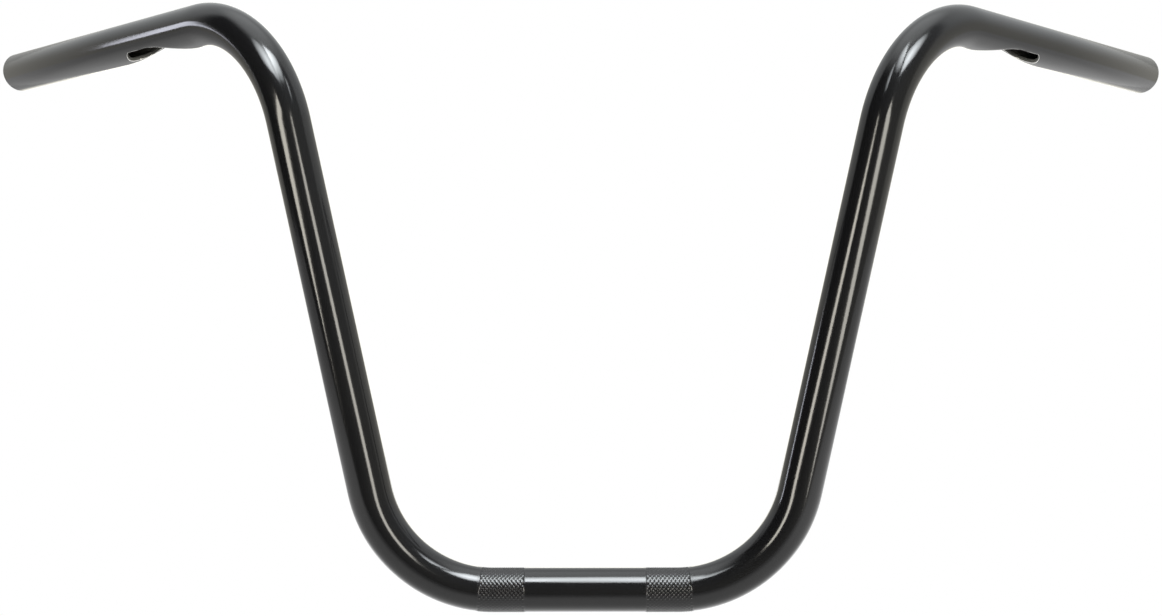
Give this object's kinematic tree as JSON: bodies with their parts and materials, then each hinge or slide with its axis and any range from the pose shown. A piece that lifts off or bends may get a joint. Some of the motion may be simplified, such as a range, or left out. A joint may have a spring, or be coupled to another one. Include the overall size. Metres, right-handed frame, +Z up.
{
  "type": "ape hanger handlebar",
  "caption": "Tall motorcycle handlebar bent from one round steel tube, with knurled clamp bands, swept-back grips and dimpled wiring slots, in gloss black.",
  "frame": {"origin": "on the tube's axis in the middle of the clamp section", "axes": "+X along the clamp section, +Z up in the plane of the risers, +Y back towards the rider, the way the grips sweep"},
  "size_m": [0.795, 0.2206, 0.3545],
  "materials": {
    "gloss_black": "gloss black powder coat over steel"
  },
  "bodies": {
    "root": {"handlebar": "gloss_black"}
  },
  "joints": []
}
